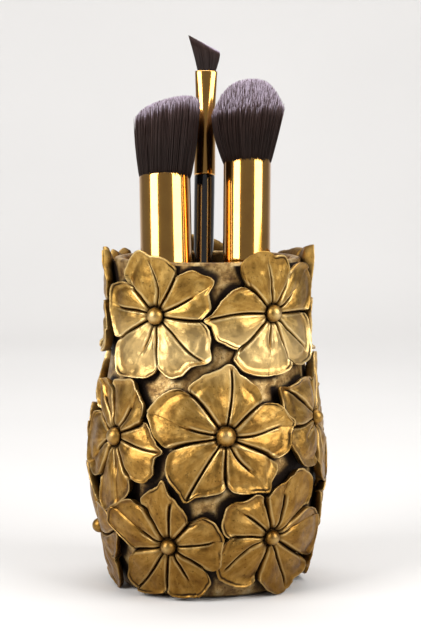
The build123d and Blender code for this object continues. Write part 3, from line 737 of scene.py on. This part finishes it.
def handle_profile(end_radius, radius, length, tenon_length):
    """Rounded end, gently swelling grip, shoulder and tenon."""
    shoulder = radius - SHOULDER_STEP
    tenon = radius - FERRULE_WALL - 0.05
    profile = [(0, 0)] + arc(0, end_radius, end_radius, -pi / 2, 0, 12)[1:-1]
    share = np.linspace(0, 1, 41)
    swell = (shoulder - end_radius) * smooth(0, 1, share)
    profile += zip(end_radius + swell, end_radius + (length - end_radius - 0.4) * share)
    profile += [(shoulder - 0.12, length - 0.1), (shoulder - 0.4, length)]
    return profile + [(tenon, length), (tenon, length + tenon_length), (0, length + tenon_length)]


def build_ferrule(name, place, radius, base):
    """Tube with a rolled mouth and a shallow crimp above the shoulder."""
    columns = 96
    inner = radius - FERRULE_WALL
    top = base + FERRULE_LENGTH
    rise = np.linspace(0.15, FERRULE_LENGTH - 0.3, 77)
    profile = list(zip(radius - 0.02 - 0.15 * peak(rise, 1.6, 0.5), base + rise))
    profile += [(radius - 0.08, top - 0.12), (radius - 0.2, top), (inner + 0.05, top - 0.08)]
    profile += [(inner, top - 0.3), (inner, base + 0.05)]
    points = placed(place, revolved(profile, columns))
    return make_mesh(name, points, ring_quads(len(profile), columns, wrapped=True))


def build_angled_ferrule(place):
    """Tube that is round at the handle, pinched in the middle and flattened at the mouth."""
    columns = 80
    spans, wide, thick = zip(*ANGLED_STATIONS)
    heights = np.linspace(0, spans[-1], 76)
    kernel = np.hanning(9) / np.hanning(9).sum()
    half_x, half_y = (
        np.convolve(np.pad(np.interp(heights, spans, half), 4, mode="edge"), kernel, mode="valid")
        for half in (wide, thick)
    )
    turns = np.linspace(0, 2 * pi, columns, endpoint=False)
    rings = []
    for inset, order in ((0.02, 1), (FERRULE_WALL, -1)):
        x = (half_x - inset)[::order, None] * np.cos(turns)
        y = (half_y - inset)[::order, None] * np.sin(turns)
        rings.append(joined(x, y, (ANGLED_HANDLE_LENGTH + heights)[::order, None]))
    points = placed(place, np.concatenate(rings).reshape(-1, 3))
    return make_mesh("angled_brush_tube", points, ring_quads(2 * len(heights), columns, wrapped=True))


def strands(name, place, roots, middles, tips, thickness, steps, seed):
    """Tapering three-sided strands on smooth curves through a root, a middle and a tip."""
    sides = 3
    count = len(roots)
    rng = np.random.default_rng(seed)
    along = np.linspace(0, 1, steps)
    share = along[None, :, None]
    control = 2 * middles - (roots + tips) / 2
    rest = 1 - share
    line = rest**2 * roots[:, None] + 2 * share * rest * control[:, None] + share**2 * tips[:, None]
    own = rng.random(count)
    spin = rng.random(count) * 2 * pi
    width = thickness * (0.75 + 0.5 * rng.random(count))
    taper = np.interp(along, (0, 0.6, 0.9, 1), (1, 1, 0.75, 0.3))
    way = spin[:, None] + np.arange(sides) * 2 * pi / sides
    ring = joined(np.cos(way), np.sin(way), 0.0)
    points = line[:, :, None, :] + ring[:, None] * (width[:, None] * taper)[:, :, None, None]
    first = np.arange(count)[:, None] * steps * sides
    quads = first[:, :, None] + ring_quads(steps, sides)
    ends = np.concatenate([first + np.arange(sides)[::-1], first + (steps - 1) * sides + np.arange(sides)])
    return make_mesh(
        name,
        placed(place, points.reshape(-1, 3)),
        quads,
        ends,
        along=np.broadcast_to(along[None, :, None], (count, steps, sides)),
        own=np.broadcast_to(own[:, None, None], (count, steps, sides)),
    )


def round_tuft(name, place, radius, mouth, tuft, seed):
    """Dense strands from the ferrule's mouth, spread to a domed or flat top."""
    rng = np.random.default_rng(seed)
    number = np.arange(STRANDS)
    share = np.sqrt((number + 0.5) / STRANDS)
    turn = number * radians(137.508)
    x = share * np.cos(turn) + rng.normal(0, 0.012, STRANDS)
    y = share * np.sin(turn) + rng.normal(0, 0.012, STRANDS)
    root_radius = radius - FERRULE_WALL - 0.25
    drop = tuft["edge_drop"] * np.minimum(1, np.hypot(x, y)) ** tuft["edge_power"]
    clump = noise(x * 5, y * 5, seed * 3.3, 71)
    uneven = rng.normal(0, 0.35, STRANDS) + 0.35 * clump
    roots = joined(x * root_radius, y * root_radius, mouth - 3.0)
    belly = tuft["middle_radius"] * (1 + 0.02 * clump) * 0.97
    middles = joined(x * belly + tuft["middle_shift"], y * belly, mouth + tuft["middle_height"] * 0.86)
    tip_x = x * tuft["tip_radius"] + tuft["tip_shift"] + rng.normal(0, 0.22, STRANDS)
    tip_y = y * tuft["tip_radius"] + rng.normal(0, 0.22, STRANDS)
    tip_height = mouth + tuft["tip_height"] + tuft["tip_slope"] * x - drop - np.abs(uneven)
    tips = joined(tip_x, tip_y, tip_height)
    return strands(name, place, roots, middles, tips, STRAND_RADIUS, steps=6, seed=seed)


def angled_tuft(name, place, seed):
    """Stiff flat strands fanned to a slanted edge."""
    rng = np.random.default_rng(seed)
    x = rng.uniform(-1, 1, ANGLED_STRANDS)
    y = rng.uniform(-0.75, 0.75, ANGLED_STRANDS)
    mouth = ANGLED_HANDLE_LENGTH + ANGLED_STATIONS[-1][0]
    roots = joined(x * 2.6, y, mouth - 2.0)
    middles = joined(x * 4.2 + 0.3, y, mouth + 4.0)
    tip_height = mouth + 10.2 - 2.9 * x - np.abs(rng.normal(0, 0.15, ANGLED_STRANDS))
    tips = joined(x * 5.6 - 0.9, y * 0.8, tip_height)
    return strands(name, place, roots, middles, tips, ANGLED_STRAND_RADIUS, steps=5, seed=seed)


# Materials

def srgb(*levels):
    """Linear colour from levels of 0 to 255 as a screen shows them."""
    return tuple(((v / 255 + 0.055) / 1.055) ** 2.4 if v > 10 else v / 3294.6 for v in levels)


class Shading:
    """A material's nodes; values are numbers, linear colours or other nodes' outputs."""

    def __init__(self, name):
        self.material = bpy.data.materials.new(name)
        self.material.use_nodes = True
        self.nodes = self.material.node_tree.nodes
        self.shader = self.nodes["Principled BSDF"]

    def feed(self, socket, value):
        if isinstance(value, bpy.types.NodeSocket):
            self.material.node_tree.links.new(value, socket)
        elif isinstance(value, tuple) and socket.type == "RGBA":
            socket.default_value = (*value, 1)
        else:
            socket.default_value = value

    def node(self, kind, **inputs):
        made = self.nodes.new(kind)
        for key, value in inputs.items():
            self.feed(made.inputs[key.replace("_", " ")], value)
        return made

    def surface(self, **inputs):
        """Inputs of the material's own shader."""
        for key, value in inputs.items():
            self.feed(self.shader.inputs[key.replace("_", " ")], value)

    def place(self):
        return self.node("ShaderNodeTexCoord").outputs["Object"]

    def attribute(self, name):
        made = self.node("ShaderNodeAttribute")
        made.attribute_name = name
        return made.outputs["Fac"]

    def noise(self, scale, detail, roughness=0.55, stretch=None, place=None):
        """Noise in the piece's own frame, drawn out where stretch is small."""
        place = place or self.place()
        if stretch:
            place = self.node("ShaderNodeMapping", Vector=place, Scale=stretch).outputs["Vector"]
        made = self.node("ShaderNodeTexNoise", Vector=place, Scale=scale, Detail=detail, Roughness=roughness)
        return made.outputs["Fac"]

    def maths(self, operation, first, second, clamp=False):
        made = self.node("ShaderNodeMath")
        made.operation = operation
        made.use_clamp = clamp
        self.feed(made.inputs[0], first)
        self.feed(made.inputs[1], second)
        return made.outputs[0]

    def add(self, first, second, clamp=False):
        return self.maths("ADD", first, second, clamp)

    def times(self, first, second):
        return self.maths("MULTIPLY", first, second)

    def step(self, value, low, high):
        """The same as smooth above."""
        made = self.node("ShaderNodeMapRange", Value=value, From_Min=low, From_Max=high)
        made.interpolation_type = "SMOOTHSTEP"
        return made.outputs["Result"]

    def ramp(self, value, *stops):
        made = self.node("ShaderNodeValToRGB", Fac=value)
        elements = made.color_ramp.elements
        while len(elements) < len(stops):
            elements.new(0.5)
        for element, (position, colour) in zip(elements, stops):
            element.position = position
            element.color = (*colour, 1)
        return made.outputs["Color"]

    def mix(self, factor, low, high, blend="MIX"):
        made = self.node("ShaderNodeMix")
        made.data_type = "RGBA"
        made.blend_type = blend
        for socket, value in ((0, factor), (6, low), (7, high)):
            self.feed(made.inputs[socket], value)
        return made.outputs[2]

    def bump(self, height, strength, distance):
        """Relief in the shading alone; distance is in metres."""
        made = self.node("ShaderNodeBump", Strength=strength, Distance=distance, Height=height)
        self.surface(Normal=made.outputs["Normal"])


def antique_gold():
    """Cast gold: patina in the hollows, painted shade under the petals and the studs and towards the foot,
    worn edges with painted highlights, and a painted highlight band below the rim.
    """
    paint = Shading("antique_gold")
    cloud = paint.noise(170, 5)
    speck = paint.noise(1000, 3, 0.7)
    ray, out = paint.times(paint.attribute("ray"), 9.0), paint.times(paint.attribute("out"), 0.22)
    on_petal = paint.node("ShaderNodeCombineXYZ", X=ray, Y=out).outputs["Vector"]
    streak = paint.noise(1.0, 3.0, 0.6, place=on_petal)
    tone = paint.add(paint.times(cloud, 0.6), paint.times(streak, 0.4))
    gold = paint.ramp(
        tone, (0.36, srgb(140, 103, 48)), (0.50, srgb(174, 135, 68)), (0.64, srgb(206, 168, 98))
    )
    pits = paint.times(paint.step(speck, 0.58, 0.70), 0.7)
    speckled = paint.mix(pits, gold, srgb(70, 46, 22))

    # Height in tenths of a metre
    split = paint.node("ShaderNodeSeparateXYZ", Vector=paint.place())
    height = paint.times(split.outputs["Z"], 10.0)
    # Painted highlight: a paler band from 72 to 96 mm up, below the rim
    none, highlight_level = (0.0, 0.0, 0.0), (0.42, 0.42, 0.42)
    grip = paint.ramp(height, (0.72, none), (0.80, highlight_level), (0.87, highlight_level), (0.96, none))
    # Worn edges and that band painted paler: wear and painted highlights
    edges = paint.times(paint.attribute("worn"), 0.85)
    worn = paint.mix(paint.add(edges, grip, True), speckled, srgb(238, 210, 150))
    # Painted shade by height: darker towards the foot and a little darker at the rim
    painted_shade_by_height = paint.ramp(
        height,
        (0.1, (0.52, 0.45, 0.34)), (0.55, (0.76, 0.71, 0.63)),
        (0.82, (1.0, 1.0, 1.0)), (1.0, (0.84, 0.82, 0.74)),
    )
    height_shaded = paint.mix(1.0, worn, painted_shade_by_height, "MULTIPLY")
    unevenness = paint.times(paint.maths("SUBTRACT", cloud, 0.5), 0.6)
    # Darker in the hollows: patina in the grooves, and painted shade under the petals and below the studs'
    # domes
    darkening = paint.step(paint.add(paint.attribute("cavity"), unevenness, True), 0.10, 0.75)
    rough = paint.add(paint.times(darkening, 0.3), paint.times(cloud, 0.24))
    colour = paint.mix(darkening, height_shaded, srgb(36, 22, 10))
    paint.surface(Base_Color=colour, Roughness=paint.add(rough, 0.27), Metallic=0.95)
    paint.bump(paint.add(paint.times(cloud, 0.8), paint.times(paint.noise(1500, 4, 0.6), 0.4)), 0.5, 0.0003)
    return paint.material


def mottled_gold():
    """The pot's wall: painted shade near the flowers, inside and under the foot, with mottled cream-gold
    patches in the open.
    """
    paint = Shading("mottled_gold")
    cloud = paint.noise(240, 6, 0.62)
    speck = paint.noise(1100, 3, 0.7)
    gold = paint.ramp(
        cloud,
        (0.34, srgb(98, 70, 40)), (0.46, srgb(150, 116, 66)),
        (0.58, srgb(196, 162, 104)), (0.70, srgb(222, 196, 146)),
    )
    pitted = paint.mix(paint.times(paint.step(speck, 0.56, 0.68), 0.7), gold, srgb(74, 50, 34))
    shade = paint.attribute("cavity")
    rough = paint.add(paint.times(shade, 0.25), 0.42)
    paint.surface(Base_Color=paint.mix(shade, pitted, srgb(30, 18, 9)), Roughness=rough, Metallic=0.75)
    paint.bump(paint.add(cloud, paint.times(speck, 0.6)), 0.7, 0.0004)
    return paint.material


def black_lacquer():
    """Black lacquer under a clear coat, with faint scratches along the handle."""
    paint = Shading("black_lacquer")
    scratch = paint.noise(600, 3, 0.6, (1.0, 1.0, 0.06))
    paint.surface(
        Base_Color=paint.ramp(paint.noise(90, 4), (0.35, srgb(14, 13, 17)), (0.65, srgb(26, 24, 31))),
        Roughness=paint.add(paint.times(scratch, 0.18), 0.10),
        Coat_Weight=1.0,
        Coat_IOR=1.7,
        Coat_Roughness=0.08,
    )
    paint.bump(scratch, 0.05, 0.0001)
    return paint.material


def polished_gold():
    """Polished metal with a fine brushed grain along the ferrule."""
    paint = Shading("polished_gold")
    brushed = paint.noise(500, 4, 0.6, (1.0, 1.0, 0.03))
    paint.surface(
        Base_Color=paint.ramp(paint.noise(120, 3), (0.3, srgb(206, 144, 44)), (0.7, srgb(220, 162, 60))),
        Metallic=1.0,
        Roughness=paint.add(paint.times(brushed, 0.12), 0.08),
        Coat_Weight=1.0,
        Coat_IOR=1.7,
        Coat_Roughness=0.06,
    )
    paint.bump(brushed, 0.04, 0.0001)
    return paint.material


def bristle_fibre():
    """Dark roots that turn pale towards the tips, with each strand a little different."""
    paint = Shading("bristle_fibre")
    own = paint.times(paint.maths("SUBTRACT", paint.attribute("own"), 0.5), 0.16)
    colour = paint.ramp(
        paint.add(paint.attribute("along"), own),
        (0.40, srgb(33, 18, 12)), (0.82, srgb(48, 29, 23)), (0.94, srgb(76, 57, 55)),
        (0.985, srgb(140, 122, 134)), (1.0, srgb(194, 180, 196)),
    )
    paint.surface(Base_Color=colour, Roughness=0.55, Specular_IOR_Level=0.25)
    return paint.material


def felt():
    """Dark felt with a soft sheen."""
    paint = Shading("felt")
    fibre = paint.noise(1800, 5, 0.7)
    colour = paint.mix(fibre, srgb(40, 26, 20), srgb(86, 62, 50))
    clouded = paint.mix(paint.times(paint.noise(200, 3), 0.3), colour, srgb(60, 42, 34))
    paint.surface(Base_Color=clouded, Roughness=0.95, Sheen_Weight=0.4)
    paint.bump(fibre, 0.8, 0.0004)
    return paint.material


# The pieces, each on its body and in place of its CAD node

def fit(piece, material, body, slot, *nodes):
    """Material, body, slot (not used) and the CAD nodes that the piece stands for."""
    piece.data.materials.append(material)
    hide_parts(*nodes)
    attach(piece, body)


GOLD = antique_gold()
LACQUER = black_lacquer()
BRIGHT_GOLD = polished_gold()
BRISTLE = bristle_fibre()

for number, (name, values) in enumerate(FLOWERS.items(), 1):
    fit(build_flower(name + "_petals", *values, number), GOLD, "holder", "flowers", name)
fit(build_wall(), mottled_gold(), "holder", "pot", "pot_body")
fit(build_buttons(), GOLD, "holder", "flowers", "flower_studs")
fit(lathe("felt_disc", Matrix.Identity(4), PAD_PROFILE, 180), felt(), "holder", "felt", "felt_pad")

for body, brush in THICK_BRUSHES.items():
    radius, length = brush["radius"], brush["length"]
    place = brush_frame(brush["foot"], brush["rim_x"], radius)
    grip = lathe(body + "_grip", place, handle_profile(HANDLE_END_RADIUS, radius, length, TENON_LENGTH))
    fit(grip, LACQUER, body, "handle_lacquer", body + "_handle")
    ferrule = build_ferrule(body + "_tube", place, radius, length)
    fit(ferrule, BRIGHT_GOLD, body, "ferrule_gold", body + "_ferrule")
    mouth = length + FERRULE_LENGTH
    bristles = round_tuft(body + "_bristles", place, radius, mouth, brush["tuft"], brush["seed"])
    fit(bristles, BRISTLE, body, "bristles", body + "_tuft")

place = brush_frame(ANGLED_FOOT, ANGLED_RIM_X, ANGLED_RADIUS)
profile = handle_profile(ANGLED_END_RADIUS, ANGLED_RADIUS, ANGLED_HANDLE_LENGTH, ANGLED_TENON_LENGTH)
grip = lathe("angled_brush_grip", place, profile)
fit(grip, LACQUER, "angled_brush", "handle_lacquer", "angled_brush_handle")
fit(build_angled_ferrule(place), BRIGHT_GOLD, "angled_brush", "ferrule_gold", "angled_brush_ferrule")
fit(angled_tuft("angled_brush_bristles", place, 5), BRISTLE, "angled_brush", "bristles", "angled_brush_tuft")


# Floor and backdrop in one curved sheet, lights and camera

def build_floor():
    """Pale sheet that bends up behind the object and is clear from behind."""
    rows = [(FLOOR_FRONT, 0.0), (BACKDROP_FOOT, 0.0)]
    rows += arc(BACKDROP_FOOT, BACKDROP_BEND, BACKDROP_BEND, -pi / 2, 0, 12)[1:]
    rows.append((BACKDROP_FOOT + BACKDROP_BEND, BACKDROP_TOP))
    points = [(x / MM, y / MM, z / MM) for y, z in rows for x in (-FLOOR_HALF_WIDTH, FLOOR_HALF_WIDTH)]
    quads = [(2 * i, 2 * i + 1, 2 * i + 3, 2 * i + 2) for i in range(len(rows) - 1)]
    floor = make_mesh("floor", points, quads)
    paint = Shading("pale_floor")
    shade = paint.ramp(paint.noise(3, 2), (0.3, srgb(208, 206, 204)), (0.7, srgb(213, 211, 209)))
    paint.surface(Base_Color=shade, Roughness=0.7)
    both = paint.node("ShaderNodeMixShader")
    paint.feed(both.inputs[0], paint.node("ShaderNodeNewGeometry").outputs["Backfacing"])
    paint.feed(both.inputs[1], paint.shader.outputs["BSDF"])
    paint.feed(both.inputs[2], paint.node("ShaderNodeBsdfTransparent").outputs["BSDF"])
    paint.feed(paint.nodes["Material Output"].inputs["Surface"], both.outputs["Shader"])
    floor.data.materials.append(paint.material)


def add_light(name, place, target, size, power):
    """Rectangular soft box that faces its target, unseen by the camera."""
    data = bpy.data.lights.new(name, "AREA")
    data.shape = "RECTANGLE"
    data.size, data.size_y = size
    data.energy = power
    lamp = add_object(name, data)
    lamp.location = place
    lamp.rotation_euler = (Vector(target) - Vector(place)).to_track_quat("-Z", "Y").to_euler()
    lamp.visible_camera = False


build_floor()
add_light("left_soft_box", (-0.52, -0.39, 0.49), (0, 0, 0.25), (0.44, 0.60), 6.6)
add_light("right_soft_box", (0.51, -0.31, 0.49), (0, 0, 0.25), (0.50, 0.60), 5.8)
add_light("top_soft_box", (0.0, -0.05, 0.95), (0, 0, 0.05), (0.5, 0.4), 0.5)
add_light("back_soft_box", (0.0, 0.45, 1.3), (0, 0.85, 0.1), (1.4, 0.5), 13.0)
world = bpy.data.worlds.new("studio")
world.use_nodes = True
background = world.node_tree.nodes["Background"]
background.inputs["Color"].default_value = (0.9, 0.9, 0.92, 1)
background.inputs["Strength"].default_value = 0.24
bpy.context.scene.world = world
bpy.context.scene.view_settings.view_transform = "Standard"

camera_data = bpy.data.cameras.new("camera")
camera_data.sensor_fit = "AUTO"
camera_data.sensor_width = SENSOR_WIDTH
camera_data.lens = FOCAL_PIXELS / IMAGE_LONG_SIDE * SENSOR_WIDTH
camera = add_object("camera", camera_data)
camera.location = (CAMERA_X, -CAMERA_DISTANCE, CAMERA_HEIGHT)
camera.rotation_euler = (radians(90 - CAMERA_PITCH), 0, 0)
bpy.context.scene.camera = camera
